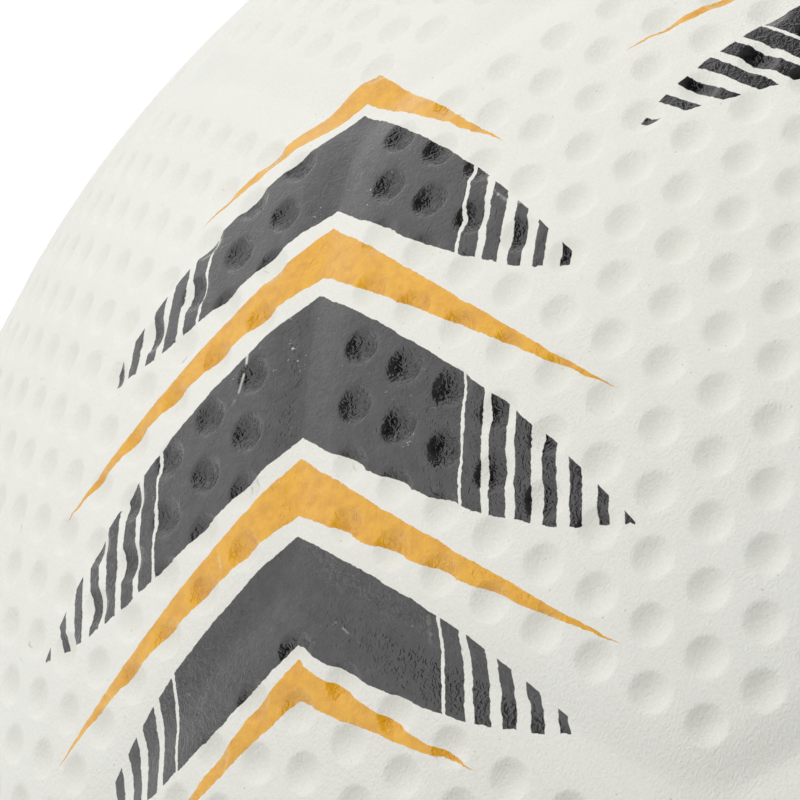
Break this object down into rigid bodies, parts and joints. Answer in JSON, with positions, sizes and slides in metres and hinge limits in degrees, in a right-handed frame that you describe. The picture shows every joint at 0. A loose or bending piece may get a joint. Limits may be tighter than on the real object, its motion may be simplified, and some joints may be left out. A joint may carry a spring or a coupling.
{
  "type": "soccer ball",
  "caption": "Round rubber soccer ball of dimpled, bonded cover panels with grooved seams over a nylon winding, an air bladder and a needle valve.",
  "frame": {"origin": "the ball's centre", "axes": "+Z out of the valve along the needle bore; -Y faces the side that the picture shows"},
  "size_m": [0.22, 0.2198, 0.2199],
  "materials": {
    "cover_rubber": "satin moulded rubber with pressed dimples",
    "winding_nylon": "matte wound yarn set in latex",
    "bladder_rubber": "matte butyl rubber",
    "valve_rubber": "satin moulded rubber",
    "valve_core_rubber": "soft satin rubber"
  },
  "bodies": {
    "root": {"hex_panel_01": "cover_rubber", "hex_panel_02": "cover_rubber", "hex_panel_03": "cover_rubber", "hex_panel_04": "cover_rubber", "hex_panel_05": "cover_rubber", "hex_panel_06": "cover_rubber", "hex_panel_07": "cover_rubber", "hex_panel_08": "cover_rubber", "hex_panel_09": "cover_rubber", "hex_panel_10": "cover_rubber", "hex_panel_11": "cover_rubber", "hex_panel_12": "cover_rubber", "hex_panel_13": "cover_rubber", "hex_panel_14": "cover_rubber", "hex_panel_15": "cover_rubber", "hex_panel_16": "cover_rubber", "hex_panel_17": "cover_rubber", "hex_panel_18": "cover_rubber", "hex_panel_19": "cover_rubber", "hex_panel_20": "cover_rubber", "pent_panel_01": "cover_rubber", "pent_panel_02": "cover_rubber", "pent_panel_03": "cover_rubber", "pent_panel_04": "cover_rubber", "pent_panel_05": "cover_rubber", "pent_panel_06": "cover_rubber", "pent_panel_07": "cover_rubber", "pent_panel_08": "cover_rubber", "pent_panel_09": "cover_rubber", "pent_panel_10": "cover_rubber", "pent_panel_11": "cover_rubber", "pent_panel_12": "cover_rubber", "winding": "winding_nylon", "bladder": "bladder_rubber", "valve_housing": "valve_rubber", "valve_core": "valve_core_rubber"}
  },
  "joints": []
}
